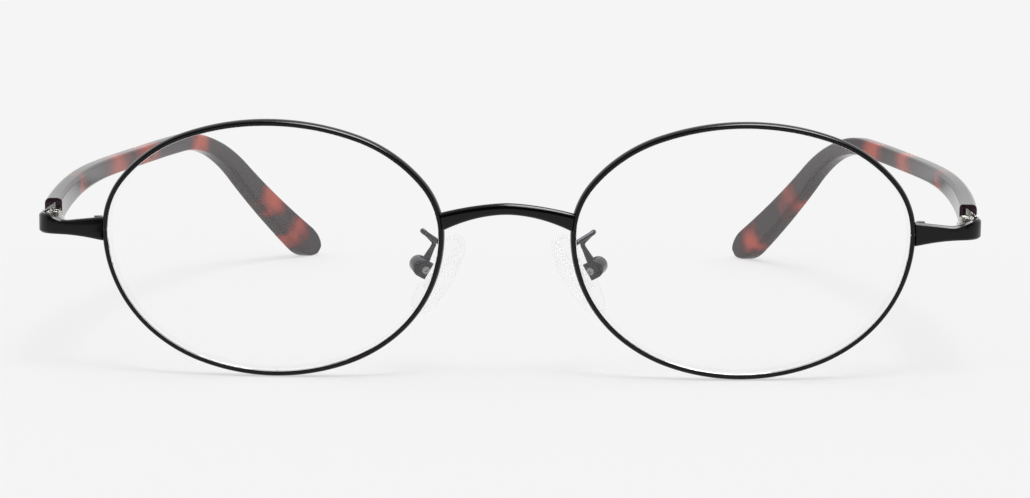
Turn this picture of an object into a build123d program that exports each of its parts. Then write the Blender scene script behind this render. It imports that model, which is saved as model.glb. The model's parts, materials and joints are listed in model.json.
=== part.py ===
from build123d import *
import math
import os

# Oval eyeglasses, in millimetres and degrees. +X is the wearer's left, +Y runs from the front
# towards the temple tips and +Z is up. Every piece of one side is drawn at +X, and the other
# side is its mirror image. The lens centres lie at Y 0 until the whole model is centred.

# Eyewire: its centre line is an oval of tangent arcs, and each half has its own height. The arc
# at the side has a radius that is a share of height squared by half width. The two angles are
# those where the side arc meets the shoulder arc, and where that meets the middle arc
eye_half_width = 24.0
eye_top_height = 16.12
eye_bottom_height = 20.43
eye_top_side_share = 1.09
eye_top_angles = (39.0, 70.0)
eye_bottom_side_share = 1.108
eye_bottom_angles = (50.0, 70.0)
eye_turn = -1.22
eye_gap = 18.66
eye_centre_x = eye_gap / 2 + eye_half_width
eye_centre_z = 20.65
face_tilt = 5.74
face_wrap = 3.59
base_radius = 120.0
rim_width = 0.78
rim_depth = 1.9
rim_edge = 0.18
rim_split_z = 21.15
rim_split_gap = 0.15

# Lens and its bevel, which sits in the eyewire's groove
lens_thickness = 1.7
bevel_reach = 0.42
bevel_width = 1.1
bevel_edge = 0.5
groove_clearance = 0.04

# Soldered joints and other seats inside one body
solder_gap = 0.02

# Bridge: an arch, thicker towards the eyewires
bridge_top_z = 25.57
bridge_waist = 1.67
bridge_depth = 1.5
bridge_top_fall = 1.87
bridge_top_power = 1.6
bridge_bottom_fall = 2.97
bridge_bottom_power = 1.85
bridge_root = 0.87
bridge_bow = 1.5
bridge_seat = 1.12
bridge_edge = 0.35
bridge_stations = 9

# End piece: a bar that leaves the eyewire, narrows to a neck and turns back to the hinge. The
# insets are measured from its outer face
end_reach = 9.97
end_setback = 0.3
end_sweep = 9.0
end_bar_depth = 1.5
end_leg_depth = 1.0
end_corner_radius = 3.2
end_length = 6.7
end_top_z = 23.05
end_bottom_z = 20.25
end_crown_inset = 1.6
end_crown_radius = 1.0
end_neck_inset = 4.0
end_neck_top_z = 22.1
end_neck_radius = 3.0
end_waist_inset = 5.7
end_waist_bottom_z = 20.12
end_waist_radius = 30.0
end_root_top_z = 23.0
end_root_bottom_z = 19.1
end_edge = 0.3
upright_share = 0.05

# Closing blocks and their screw, behind the root of the end piece
block_width = 1.6
block_depth = 1.7
block_height = 1.17
block_edge = 0.25
closing_screw_radius = 0.4
closing_head_radius = 0.6
closing_head_height = 0.3

# Hinge: two knuckles on the front leaf, one on the temple leaf
hinge_setback = 1.2
hinge_leg_gap = 0.1
knuckle_radius = 0.95
knuckle_gap = 0.05
knuckle_height = 0.87
leaf_thickness = 0.7
leaf_length = 3.75
pin_radius = 0.4
pin_clearance = 0.04
pin_head_radius = 0.65
pin_head_height = 0.35
hinge_arm_width = 1.0
stop_gap = 0.1
shoulder_depth = 0.9

# Tang of the temple leaf, seen from the front: its top slopes down outwards
tang_inset = 1.8
tang_width = 1.3
tang_bottom_z = 21.5
tang_low_top_z = 23.2
tang_high_top_z = 24.1
tang_length = 4.6

# Acetate temple: bent inward along two arcs in plan, and a profile with a bent tip from the side
temple_thickness = 2.5
temple_inset = 1.4
temple_start_z = 22.75
temple_length = 128.1
temple_splay = 6.6
temple_front_radius = 222.0
temple_tip_radius = 150.0
temple_rise = 1.6
temple_tip_run = 31.6
temple_drop = 37.5
temple_bend_radius = 34.5
temple_front_height = 3.8
temple_slim_share = 0.46
temple_slim_height = 2.9
temple_slim_radius = 120.0
temple_tip_height = 5.5
temple_tip_round_share = 0.85
temple_side_share = 0.8
temple_outer_edge = 0.75
temple_inner_edge = 0.5
core_thickness = 0.9
core_height = 1.4
core_end_margin = 14.0
core_clearance = 0.04

# Pad arm: a bent wire from the back of the eyewire, with a stem that widens into the box. Its
# points are measured from its foot, which lies below the height of the lens centre
arm_wire_width = 0.66
arm_wire_edge = 0.16
arm_bend_radius = 0.5
arm_foot_drop = 1.45
arm_foot_run = 0.9
arm_loop_front = (2.8, 2.75, 1.54)
arm_loop_back = (2.8, 3.95, 1.54)
arm_elbow = (1.1, 4.65, -0.3)
stem_foot_width = 1.1
stem_share = 0.7

# Pad box, pad screw, insert and pad, in the pad's own frame: x along the screw towards the
# back, y down the pad and z towards the nose
pad_from_foot = (2.76, 5.35, -4.0)
pad_frontal_angle = 30.0
pad_splay_angle = 20.0
box_length = 2.8
box_width = 2.6
box_mouth = 0.6
box_straight = 1.2
box_edge = 0.2
box_slot = 1.3
box_back_wall = 0.7
pad_screw_radius = 0.34
pad_head_radius = 0.55
pad_head_height = 0.35
lug_thickness = 1.2
lug_width = 1.7
lug_clearance = 0.04
insert_plate_back = 1.4
insert_plate_thickness = 0.5
insert_plate_length = 5.0
insert_plate_width = 3.0
pad_length = 13.0
pad_width = 7.5
pad_thickness = 2.5
pad_back = 1.55
pad_front_edge = 0.9
pad_back_edge = 0.4

# How far cutting tools run past what they cut
overrun = 1.0


def eye_plane():
    tilt = math.radians(face_tilt)
    wrap = math.radians(face_wrap)
    outward = Vector(math.cos(wrap), math.sin(wrap) * math.cos(tilt), math.sin(wrap) * math.sin(tilt))
    back = Vector(-math.sin(wrap), math.cos(wrap) * math.cos(tilt), math.cos(wrap) * math.sin(tilt))
    flat = Plane(origin=(eye_centre_x, 0, eye_centre_z), x_dir=outward, z_dir=-back)
    return flat.rotated((0, 0, eye_turn))


def half_oval(height, side_share, angles):
    # Centre, radius, start and end of the five arcs of an upper half. The shoulder and middle
    # radius follow from the two sums that bring the arcs to the half width and to the height
    side_end = math.radians(angles[0])
    shoulder_end = math.radians(angles[1])
    side = side_share * height ** 2 / eye_half_width
    across = math.cos(side_end) - math.cos(shoulder_end)
    rise = math.sin(shoulder_end) - math.sin(side_end)
    left_over = 1 - math.sin(shoulder_end)
    wide = eye_half_width - side * (1 - math.cos(side_end))
    tall = height - side * math.sin(side_end)
    scale = across * left_over - rise * math.cos(shoulder_end)
    shoulder = (wide * left_over - tall * math.cos(shoulder_end)) / scale
    middle = (across * tall - rise * wide) / scale
    side_x = eye_half_width - side
    shoulder_x = side_x + (side - shoulder) * math.cos(side_end)
    shoulder_y = (side - shoulder) * math.sin(side_end)
    middle_y = shoulder_y + (shoulder - middle) * math.sin(shoulder_end)
    return [
        (side_x, 0, side, 0, side_end),
        (shoulder_x, shoulder_y, shoulder, side_end, shoulder_end),
        (0, middle_y, middle, shoulder_end, math.pi - shoulder_end),
        (-shoulder_x, shoulder_y, shoulder, math.pi - shoulder_end, math.pi - side_end),
        (-side_x, 0, side, math.pi - side_end, math.pi),
    ]


def oval_arc(stretch, grow, sign):
    x, y, radius, start, end = stretch
    points = []
    for angle in (start, (start + end) / 2, end):
        along = x + (radius + grow) * math.cos(angle)
        upward = y + (radius + grow) * math.sin(angle)
        points.append((along, sign * upward))
    return ThreePointArc(*points)


def eye_prism(grow, reach):
    # The oval, larger by that much all round, run far to both sides of its plane
    upper = half_oval(eye_top_height, eye_top_side_share, eye_top_angles)
    lower = half_oval(eye_bottom_height, eye_bottom_side_share, eye_bottom_angles)
    arcs = [oval_arc(stretch, grow, 1) for stretch in upper]
    arcs += [oval_arc(stretch, grow, -1) for stretch in lower]
    return extrude(make_face(arcs), amount=reach, both=True)


def dome(radius):
    # The poles lie to the sides, so no lens has one in its middle
    return Pos(0, 0, -base_radius) * Rot(90, 0, 0) * Sphere(radius)


def dished(form, half_depth):
    return (form & dome(base_radius + half_depth)) - dome(base_radius - half_depth)


def on_dome(x, y, depth):
    # A point of the lens plane, moved onto the base curve or to that far in front of it
    out = Vector(x, y, math.sqrt(base_radius ** 2 - x ** 2 - y ** 2)).normalized()
    return out * (base_radius + depth) - Vector(0, 0, base_radius)


def side_point(side):
    # The middle of the eyewire at its outer side, or at its nasal side
    return eye_plane().from_local_coords(on_dome(side * eye_half_width, 0, 0))


def full_reach():
    # Longer than any piece, for forms that another form trims
    return 2 * temple_length


def eye_reach():
    return rim_depth + eye_half_width ** 2 / base_radius


def round_edges(form):
    return form.edges().filter_by(GeomType.LINE, reverse=True)


def bevel_disc(grow):
    # A dished disc whose edge is the lens's bevel, or the groove for it
    disc = dished(eye_prism(bevel_reach + grow - rim_width / 2, eye_reach()), bevel_width / 2 + grow)
    return chamfer(round_edges(disc), bevel_edge)


def make_rim():
    # The outer edges are bevelled before the opening is cut, and the groove is cut last
    disc = dished(eye_prism(rim_width / 2, eye_reach()), rim_depth / 2)
    disc = chamfer(round_edges(disc), rim_edge)
    ring = disc - eye_prism(-rim_width / 2, 2 * eye_reach())
    ring = eye_plane() * (ring - bevel_disc(groove_clearance))
    slit = rim_split_gap / 2
    return ring - box_between(
        (eye_centre_x, -full_reach(), rim_split_z - slit), (end_outer_x(), full_reach(), rim_split_z + slit)
    )


def make_lens():
    body = dished(eye_prism(-rim_width / 2 - groove_clearance, eye_reach()), lens_thickness / 2)
    return eye_plane() * (body + bevel_disc(0))


def rim_envelope():
    # Everything inside the eyewire's outer wall, for trimming what is soldered to it
    return eye_plane() * eye_prism(rim_width / 2 + solder_gap, 2 * eye_reach())


def mirrored(shape):
    return mirror(shape, about=Plane.YZ)


def bevelled_rectangle(width, height, edge):
    form = Rectangle(width, height)
    return chamfer(form.vertices(), edge)


def bridge_station(x):
    # One upright section of the bridge
    share = abs(x) / (eye_gap / 2 + bridge_root)
    top = bridge_top_z - bridge_top_fall * share ** bridge_top_power
    bottom = bridge_top_z - bridge_waist - bridge_bottom_fall * share ** bridge_bottom_power
    front_y = side_point(-1).Y - bridge_seat - bridge_bow * (1 - share ** 2)
    middle = Vector(x, front_y + bridge_depth / 2, (top + bottom) / 2)
    section = bevelled_rectangle(bridge_depth, top - bottom, bridge_edge)
    return Plane(origin=middle, x_dir=(0, 1, 0), z_dir=(1, 0, 0)) * section


def make_bridge():
    half = bridge_stations // 2
    half_span = eye_gap / 2 + bridge_root
    bar = loft([bridge_station(half_span * step / half) for step in range(-half, half + 1)])
    return bar - rim_envelope() - mirrored(rim_envelope())


def end_outer_x():
    return eye_centre_x + eye_half_width + end_reach


def end_front_y(x):
    root_y = side_point(1).Y - rim_depth / 2 + end_setback
    return root_y + (x - eye_centre_x - eye_half_width) * math.tan(math.radians(end_sweep))


def end_back_y():
    return end_front_y(eye_centre_x + eye_half_width) + end_length


def end_start_x():
    return eye_centre_x + eye_half_width - 2 * rim_width


def end_plan(grow):
    # The bar from above, in a face that can be a little larger all round
    start_x = end_start_x()
    outer_x = end_outer_x()
    leg_x = outer_x - end_leg_depth
    plan_line = FilletPolyline(
        (start_x, end_front_y(start_x)),
        (outer_x, end_front_y(outer_x)),
        (outer_x, end_back_y()),
        (leg_x, end_back_y()),
        (leg_x, end_front_y(leg_x) + end_bar_depth),
        (start_x, end_front_y(start_x) + end_bar_depth),
        radius=[0, end_corner_radius, 0, 0, end_corner_radius - end_bar_depth, 0],
        close=True,
    )
    face = make_face(plan_line)
    if grow:
        face = offset(face, grow)
    return extrude(face, amount=full_reach())


def end_profile():
    # The bar seen from the front: its top sinks to the neck and rises to the crown at the corner
    start_x = end_start_x()
    past_x = end_outer_x() + overrun
    top = FilletPolyline(
        (start_x, end_root_top_z),
        (end_outer_x() - end_neck_inset, end_neck_top_z),
        (end_outer_x() - end_crown_inset, end_top_z),
        (past_x, end_top_z),
        radius=[end_neck_radius, end_crown_radius],
    )
    bottom = FilletPolyline(
        (start_x, end_root_bottom_z),
        (end_outer_x() - end_waist_inset, end_waist_bottom_z),
        (past_x, end_bottom_z),
        radius=end_waist_radius,
    )
    root = Line((start_x, end_root_bottom_z), (start_x, end_root_top_z))
    past = Line((past_x, end_bottom_z), (past_x, end_top_z))
    return extrude(Plane.XZ * make_face([top, bottom, root, past]), amount=full_reach(), both=True)


def lengthwise_edges(edges, ends):
    # Leaves out both ends, and the upright edges where two stretches only meet
    return edges.filter_by(lambda edge: edge not in ends).filter_by(Axis.Z, reverse=True)


def upright_walls(form):
    return form.faces().filter_by(lambda face: abs(face.normal_at().Z) < upright_share)


def make_end_piece():
    bar = end_plan(0) & end_profile()
    ends = bar.faces().sort_by(Axis.X)[0].edges() + bar.faces().sort_by(Axis.Y)[-1].edges()
    walls = upright_walls(bar).edges().filter_by(lambda edge: edge in bar.edges())
    bar = chamfer(lengthwise_edges(walls, ends), end_edge)
    return bar - rim_envelope()


def block_centre():
    x = eye_centre_x + eye_half_width + rim_width / 2 + solder_gap + block_width / 2
    y = end_front_y(x + block_width / 2) + end_bar_depth + solder_gap + block_depth / 2
    return x, y


def block_levels():
    # Lowest and highest Z of both closing blocks together
    half = rim_split_gap / 2 + block_height
    return rim_split_z - half, rim_split_z + half


def make_closing_block(low_z, high_z):
    x, y = block_centre()
    middle_z = (low_z + high_z) / 2
    block = Pos(x, y, middle_z) * Box(block_width, block_depth, high_z - low_z)
    block = chamfer(block.edges().filter_by(Axis.Z), block_edge)
    hole = Cylinder(closing_screw_radius + solder_gap, high_z - low_z + overrun)
    return block - Pos(x, y, middle_z) * hole - rim_envelope()


def screw(shank_radius, shank_length, head_radius, head_height):
    # Stands on its shank, with the top of its head at 0
    head = Pos(0, 0, -head_height / 2) * Cylinder(head_radius, head_height)
    shank = Pos(0, 0, -head_height - shank_length / 2) * Cylinder(shank_radius, shank_length)
    return head + shank


def make_closing_screw():
    x, y = block_centre()
    low, high = block_levels()
    form = screw(closing_screw_radius, high - low, closing_head_radius, closing_head_height)
    return Pos(x, y, high + solder_gap + closing_head_height) * form


def knuckle_levels():
    # Lowest and highest Z of the lower, middle and upper knuckle
    low = end_top_z - 3 * knuckle_height - 2 * knuckle_gap
    step = knuckle_height + knuckle_gap
    return [(low + step * place, low + step * place + knuckle_height) for place in range(3)]


def leg_face():
    # Where the front leaf lies against the inner face of the end piece's leg
    return end_outer_x() - end_leg_depth - solder_gap


def hinge_centre():
    return end_outer_x() - end_leg_depth - hinge_leg_gap - knuckle_radius, end_back_y() - hinge_setback


def hinge_cylinder(radius, low_z, high_z):
    x, y = hinge_centre()
    return Pos(x, y, (low_z + high_z) / 2) * Cylinder(radius, high_z - low_z)


def box_between(low, high):
    size = [high[axis] - low[axis] for axis in range(3)]
    middle = [(high[axis] + low[axis]) / 2 for axis in range(3)]
    return Pos(*middle) * Box(*size)


def make_front_leaf():
    lower, middle, upper = knuckle_levels()
    x, y = hinge_centre()
    face_x = leg_face()
    back_y = end_back_y() - stop_gap
    leaf = box_between((face_x - leaf_thickness, back_y - leaf_length, lower[0]), (face_x, back_y, upper[1]))
    for low_z, high_z in (lower, upper):
        web = box_between((x, y - knuckle_radius, low_z), (face_x, y, high_z))
        leaf = leaf + hinge_cylinder(knuckle_radius, low_z, high_z) + web
    room = knuckle_radius + knuckle_gap + pin_clearance
    room_low = (x - room, y - room, middle[0] - knuckle_gap)
    room_high = (face_x + overrun, y + full_reach(), middle[1] + knuckle_gap)
    leaf = leaf - box_between(room_low, room_high)
    leaf = leaf - hinge_cylinder(pin_radius + solder_gap, lower[0] - overrun, upper[1] + overrun)
    sink = upper[1] - pin_head_height - solder_gap
    leaf = leaf - hinge_cylinder(pin_head_radius + solder_gap, sink, upper[1] + overrun)
    return leaf - end_plan(solder_gap)


def make_hinge_screw():
    lower, middle, upper = knuckle_levels()
    x, y = hinge_centre()
    length = upper[1] - lower[0] - pin_head_height
    return Pos(x, y, upper[1]) * screw(pin_radius, length, pin_head_radius, pin_head_height)


def tang_form(grow):
    # Its section seen from the front, run back into the acetate
    inner = end_outer_x() - tang_inset - grow
    outer = inner + tang_width + 2 * grow
    section = make_face(
        Polyline(
            (inner, tang_bottom_z - grow),
            (outer, tang_bottom_z - grow),
            (outer, tang_low_top_z + grow),
            (inner, tang_high_top_z + grow),
            close=True,
        )
    )
    tang = extrude(Plane.XZ * section, amount=-(shoulder_depth + tang_length + grow))
    return Pos(0, end_back_y() + stop_gap, 0) * tang


def make_temple_leaf():
    lower, middle, upper = knuckle_levels()
    x, y = hinge_centre()
    face_y = end_back_y() + stop_gap
    back_y = face_y + shoulder_depth
    inner_x = x - knuckle_radius
    arm = box_between((inner_x, y, middle[0]), (inner_x + hinge_arm_width, back_y, middle[1]))
    shoulder = box_between((x - pin_radius, face_y, lower[0]), (end_outer_x(), back_y, upper[1]))
    leaf = hinge_cylinder(knuckle_radius, middle[0], middle[1]) + arm + shoulder + tang_form(0)
    return leaf - hinge_cylinder(pin_radius + pin_clearance, lower[0], upper[1])


def temple_start():
    return end_outer_x() - temple_inset, end_back_y() + stop_gap + shoulder_depth + solder_gap


def temple_end_y():
    return temple_start()[1] + temple_length


def temple_bend_y():
    return temple_end_y() - temple_tip_run


def temple_plan(thickness):
    # Two arcs with one tangent where they meet, thickened to both sides
    start_x, start_y = temple_start()
    splay = math.radians(temple_splay)
    turned = splay - (temple_bend_y() - start_y) / temple_front_radius
    past = turned - 2 * temple_tip_run / temple_tip_radius
    before = splay + 2 * overrun / temple_front_radius
    centre_x = start_x - temple_front_radius * math.cos(splay)
    centre_y = start_y + temple_front_radius * math.sin(splay)
    shift = temple_front_radius - temple_tip_radius
    tip_centre_x = centre_x + shift * math.cos(turned)
    tip_centre_y = centre_y - shift * math.sin(turned)

    def front_point(side, heading):
        radius = temple_front_radius + side * thickness / 2
        return centre_x + radius * math.cos(heading), centre_y - radius * math.sin(heading)

    def tip_point(side, heading):
        radius = temple_tip_radius + side * thickness / 2
        return tip_centre_x + radius * math.cos(heading), tip_centre_y - radius * math.sin(heading)

    front_middle = (before + turned) / 2
    tip_middle = (turned + past) / 2
    lines = [
        Line(front_point(-1, before), front_point(1, before)),
        Line(tip_point(-1, past), tip_point(1, past)),
    ]
    for side in (-1, 1):
        front = [front_point(side, heading) for heading in (before, front_middle, turned)]
        rear = [tip_point(side, heading) for heading in (turned, tip_middle, past)]
        lines += [ThreePointArc(*front), ThreePointArc(*rear)]
    return extrude(make_face(lines), amount=full_reach(), both=True)


def temple_line_z(y):
    return temple_start_z + (y - temple_start()[1]) * math.tan(math.radians(temple_rise))


def temple_side(front_half, slim_half, tip_half, start_y, end_y, tip_round):
    # The profile as seen from the side, in Y and Z, with its half heights along the way
    bend_y = temple_bend_y()
    bend_z = temple_line_z(bend_y)
    slim_y = temple_start()[1] + temple_slim_share * (bend_y - temple_start()[1])
    fall = math.tan(math.radians(temple_drop))
    end_z = bend_z - (end_y - bend_y) * fall
    lean = math.radians((temple_drop - temple_rise) / 2)
    corner_y = slim_half * math.sin(lean)
    corner_z = slim_half * math.cos(lean)
    tip_y = tip_half * math.sin(math.radians(temple_drop))
    tip_z = tip_half * math.cos(math.radians(temple_drop))
    return make_face(
        FilletPolyline(
            (start_y, temple_line_z(start_y) + front_half),
            (slim_y, temple_line_z(slim_y) + slim_half),
            (bend_y + corner_y, bend_z + corner_z),
            (end_y + tip_y, end_z + tip_z),
            (end_y - tip_y, end_z - tip_z),
            (bend_y - corner_y, bend_z - corner_z),
            (slim_y, temple_line_z(slim_y) - slim_half),
            (start_y, temple_line_z(start_y) - front_half),
            radius=[
                0,
                temple_slim_radius,
                temple_bend_radius + slim_half,
                tip_round,
                tip_round,
                temple_bend_radius - slim_half,
                temple_slim_radius,
                0,
            ],
            close=True,
        )
    )


def temple_solid(side_face, thickness):
    side = extrude(Plane.YZ * side_face, amount=full_reach(), both=True)
    return temple_plan(thickness) & side


def core_form(grow):
    half = core_height / 2 + grow
    start_y = temple_start()[1] + tang_length - grow
    end_y = temple_end_y() - core_end_margin + grow
    face = temple_side(half, half, half, start_y, end_y, half / 2)
    return temple_solid(face, core_thickness + 2 * grow)


def bevel_side(arm, sign, edge):
    # Bevels one long side of the temple, the outer or the inner one, but not its front end
    start_edges = arm.faces().sort_by(Axis.Y)[0].edges()
    side = arm.faces().filter_by(lambda face: sign * face.normal_at().X > temple_side_share)
    return chamfer(lengthwise_edges(side.edges(), start_edges), edge)


def make_temple():
    tip_half = temple_tip_height / 2
    tip_round = tip_half * temple_tip_round_share
    start_y = temple_start()[1]
    face = temple_side(
        temple_front_height / 2, temple_slim_height / 2, tip_half, start_y, temple_end_y(), tip_round
    )
    arm = temple_solid(face, temple_thickness)
    arm = bevel_side(arm, 1, temple_outer_edge)
    arm = bevel_side(arm, -1, temple_inner_edge)
    return arm - tang_form(core_clearance) - core_form(core_clearance)


def arm_foot():
    # On the back of the eyewire at its nasal side, and the way that is straight back from there
    lower = half_oval(eye_bottom_height, eye_bottom_side_share, eye_bottom_angles)
    side_x, side_y, radius, start, end = lower[-1]
    x = side_x - math.sqrt(radius ** 2 - arm_foot_drop ** 2)
    plane = eye_plane()
    foot = plane.from_local_coords(on_dome(x, -arm_foot_drop, -rim_depth / 2 - solder_gap))
    back = plane.from_local_coords(on_dome(x, -arm_foot_drop, -rim_depth / 2 - solder_gap - arm_foot_run))
    return foot, back


def pad_plane():
    frontal = math.radians(pad_frontal_angle)
    splay = math.radians(pad_splay_angle)
    back = (math.cos(frontal) * math.sin(splay), math.cos(splay), math.sin(frontal) * math.sin(splay))
    nose = (-math.cos(frontal) * math.cos(splay), math.sin(splay), -math.sin(frontal) * math.cos(splay))
    return Plane(origin=arm_foot()[0] + Vector(*pad_from_foot), x_dir=back, z_dir=nose)


def along_screw(radius, start, end):
    return Pos((start + end) / 2, 0, 0) * Rot(0, 90, 0) * Cylinder(radius, end - start)


def box_form(grow):
    # A round back and straight sides, run along the screw
    side = box_width / 2 + grow
    mouth = box_mouth + grow
    low = box_mouth - box_straight
    sides = Polyline((-side, low), (-side, mouth), (side, mouth), (side, low))
    section = make_face([sides, ThreePointArc((-side, low), (0, low - side), (side, low))])
    half = box_length / 2 + grow
    start = Plane(origin=(-half, 0, 0), x_dir=(0, 1, 0), z_dir=(1, 0, 0))
    return extrude(start * section, amount=2 * half)


def make_pad_box():
    form = box_form(0)
    ends = form.faces().filter_by(Axis.X)
    form = chamfer(ends.edges(), box_edge)
    depth = box_straight + box_width / 2 - box_back_wall
    slot = Pos(0, 0, box_mouth - depth / 2) * Box(box_slot, box_width + overrun, depth)
    form = form - slot
    half = box_length / 2
    form = form - along_screw(pad_screw_radius + solder_gap, -half - overrun, half + overrun)
    sink = pad_head_height + solder_gap
    form = form - along_screw(pad_head_radius + solder_gap, -half - overrun, -half + sink)
    return pad_plane() * form


def make_pad_screw():
    form = screw(pad_screw_radius, box_length - pad_head_height, pad_head_radius, pad_head_height)
    return pad_plane() * (Pos(-box_length / 2, 0, 0) * Rot(0, -90, 0) * form)


def insert_form(grow):
    lug = Pos(0, 0, insert_plate_back / 2) * Box(
        lug_thickness + 2 * grow, lug_width + 2 * grow, insert_plate_back + 2 * grow
    )
    half = lug_thickness / 2 + grow
    nose_end = along_screw(lug_width / 2 + grow, -half, half)
    plate_z = insert_plate_back - grow
    plate = Pos(0, 0, plate_z) * extrude(
        Ellipse(insert_plate_width / 2 + grow, insert_plate_length / 2 + grow),
        amount=insert_plate_thickness + 2 * grow,
    )
    return lug + nose_end + plate


def make_pad_insert():
    hole = along_screw(pad_screw_radius + lug_clearance, -box_length, box_length)
    return pad_plane() * (insert_form(0) - hole)


def make_nose_pad():
    oval = extrude(Ellipse(pad_width / 2, pad_length / 2), amount=pad_thickness)
    oval = chamfer(oval.edges().group_by(Axis.Z)[-1], pad_front_edge)
    oval = chamfer(oval.edges().group_by(Axis.Z)[0], pad_back_edge)
    return pad_plane() * (Pos(0, 0, pad_back) * oval - insert_form(solder_gap))


def make_pad_arm():
    foot, back = arm_foot()
    elbow = foot + Vector(*arm_elbow)
    box_top = pad_plane().from_local_coords(Vector(0, -box_width / 2 - solder_gap, -box_mouth / 2))
    route = [foot, back, foot + Vector(*arm_loop_front), foot + Vector(*arm_loop_back), elbow, box_top]
    path = FilletPolyline(*route, radius=arm_bend_radius)
    section = bevelled_rectangle(arm_wire_width, arm_wire_width, arm_wire_edge)
    wire = sweep(Plane(origin=path @ 0, z_dir=path % 0) * section, path=path)
    down = box_top - elbow
    stem_foot = bevelled_rectangle(stem_foot_width, stem_foot_width, arm_wire_edge)
    stem_end = Pos(0, 0, down.length * stem_share) * section
    stem = Plane(origin=box_top, z_dir=-down) * loft([stem_foot, stem_end])
    return wire + stem - pad_plane() * box_form(solder_gap)


def side_parts():
    # Every piece of the wearer's left side, at +X
    low, high = block_levels()
    slit = rim_split_gap / 2
    return {
        "rim": make_rim(),
        "lens": make_lens(),
        "end_piece": make_end_piece(),
        "closing_block_upper": make_closing_block(rim_split_z + slit, high),
        "closing_block_lower": make_closing_block(low, rim_split_z - slit),
        "closing_screw": make_closing_screw(),
        "front_hinge_leaf": make_front_leaf(),
        "temple_hinge_leaf": make_temple_leaf(),
        "hinge_screw": make_hinge_screw(),
        "temple_core": core_form(0),
        "temple": make_temple(),
        "pad_arm": make_pad_arm(),
        "pad_box": make_pad_box(),
        "pad_screw": make_pad_screw(),
        "pad_insert": make_pad_insert(),
        "nose_pad": make_nose_pad(),
    }


def model():
    nodes = {"bridge": make_bridge()}
    for name, shape in side_parts().items():
        nodes[name + "_left"] = shape
        nodes[name + "_right"] = mirrored(shape)
    return nodes


def centring(nodes):
    # Centres the model's box on the origin and stands its lowest point on Z 0
    boxes = [shape.bounding_box() for shape in nodes.values()]
    front = min(box.min.Y for box in boxes)
    back = max(box.max.Y for box in boxes)
    low = min(box.min.Z for box in boxes)
    return Vector(0, -(front + back) / 2, -low)


def show(name, point, shift):
    place = Vector(*point) + shift
    print(name, round(place.X, 4), round(place.Y, 4), round(place.Z, 4))


os.makedirs("parts", exist_ok=True)
pieces = model()
shift = centring(pieces)
for name, shape in pieces.items():
    export_step(Pos(*shift) * shape, "parts/" + name + ".step")
show("left hinge axis", (*hinge_centre(), end_top_z), shift)
show("left pad axis", pad_plane().origin, shift)
show("left pad face", pad_plane().from_local_coords(Vector(0, 0, pad_back + pad_thickness)), shift)
print("pad axis direction", pad_plane().x_dir)
print("pad face direction", pad_plane().z_dir)
show("lens centre", eye_plane().origin, shift)
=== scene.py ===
import bpy
import bmesh
import json
import math
from mathutils import Matrix, Vector

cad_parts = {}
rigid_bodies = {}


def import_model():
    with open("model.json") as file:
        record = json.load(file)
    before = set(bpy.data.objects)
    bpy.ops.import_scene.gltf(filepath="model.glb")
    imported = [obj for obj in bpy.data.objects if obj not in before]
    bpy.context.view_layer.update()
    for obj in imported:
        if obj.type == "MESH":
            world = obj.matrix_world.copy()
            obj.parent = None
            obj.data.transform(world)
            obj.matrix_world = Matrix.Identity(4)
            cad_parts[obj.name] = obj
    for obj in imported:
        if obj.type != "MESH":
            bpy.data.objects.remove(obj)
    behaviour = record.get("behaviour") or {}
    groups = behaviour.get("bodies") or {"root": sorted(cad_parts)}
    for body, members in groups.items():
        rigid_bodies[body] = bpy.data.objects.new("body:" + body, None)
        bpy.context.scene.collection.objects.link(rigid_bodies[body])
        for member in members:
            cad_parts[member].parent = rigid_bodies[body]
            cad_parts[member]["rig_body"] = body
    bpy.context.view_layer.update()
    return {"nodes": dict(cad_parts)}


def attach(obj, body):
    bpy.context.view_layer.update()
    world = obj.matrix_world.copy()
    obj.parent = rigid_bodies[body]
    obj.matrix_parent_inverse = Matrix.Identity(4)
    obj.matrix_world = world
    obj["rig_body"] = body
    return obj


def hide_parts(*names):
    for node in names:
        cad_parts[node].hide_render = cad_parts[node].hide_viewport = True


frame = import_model()
nodes = frame["nodes"]
mm = 0.001  # sizes below are in millimetres, angles in degrees
sides = {"left": 1, "right": -1}  # the wearer's left is at +X, and every shape is drawn there and mirrored
print("frame loaded:", len(nodes), "nodes")


def linearColour(hexCode):
    channels = [int(hexCode[i:i + 2], 16) / 255 for i in (1, 3, 5)]
    return [c / 12.92 if c <= 0.04045 else ((c + 0.055) / 1.055) ** 2.4 for c in channels] + [1.0]


def addNode(tree, kind, settings=None, links=None):
    # settings are sockets by name or number, or properties of the node; links are sockets alone
    node = tree.nodes.new(kind)
    for name, value in (settings or {}).items():
        if isinstance(name, int) or name in node.inputs:
            node.inputs[name].default_value = value
        else:
            setattr(node, name, value)
    for name, source in (links or {}).items():
        tree.links.new(source, node.inputs[name])
    return node


def newMaterial(name):
    material = bpy.data.materials.new(name)
    material.use_nodes = True
    material.node_tree.nodes.clear()
    return material, material.node_tree


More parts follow.
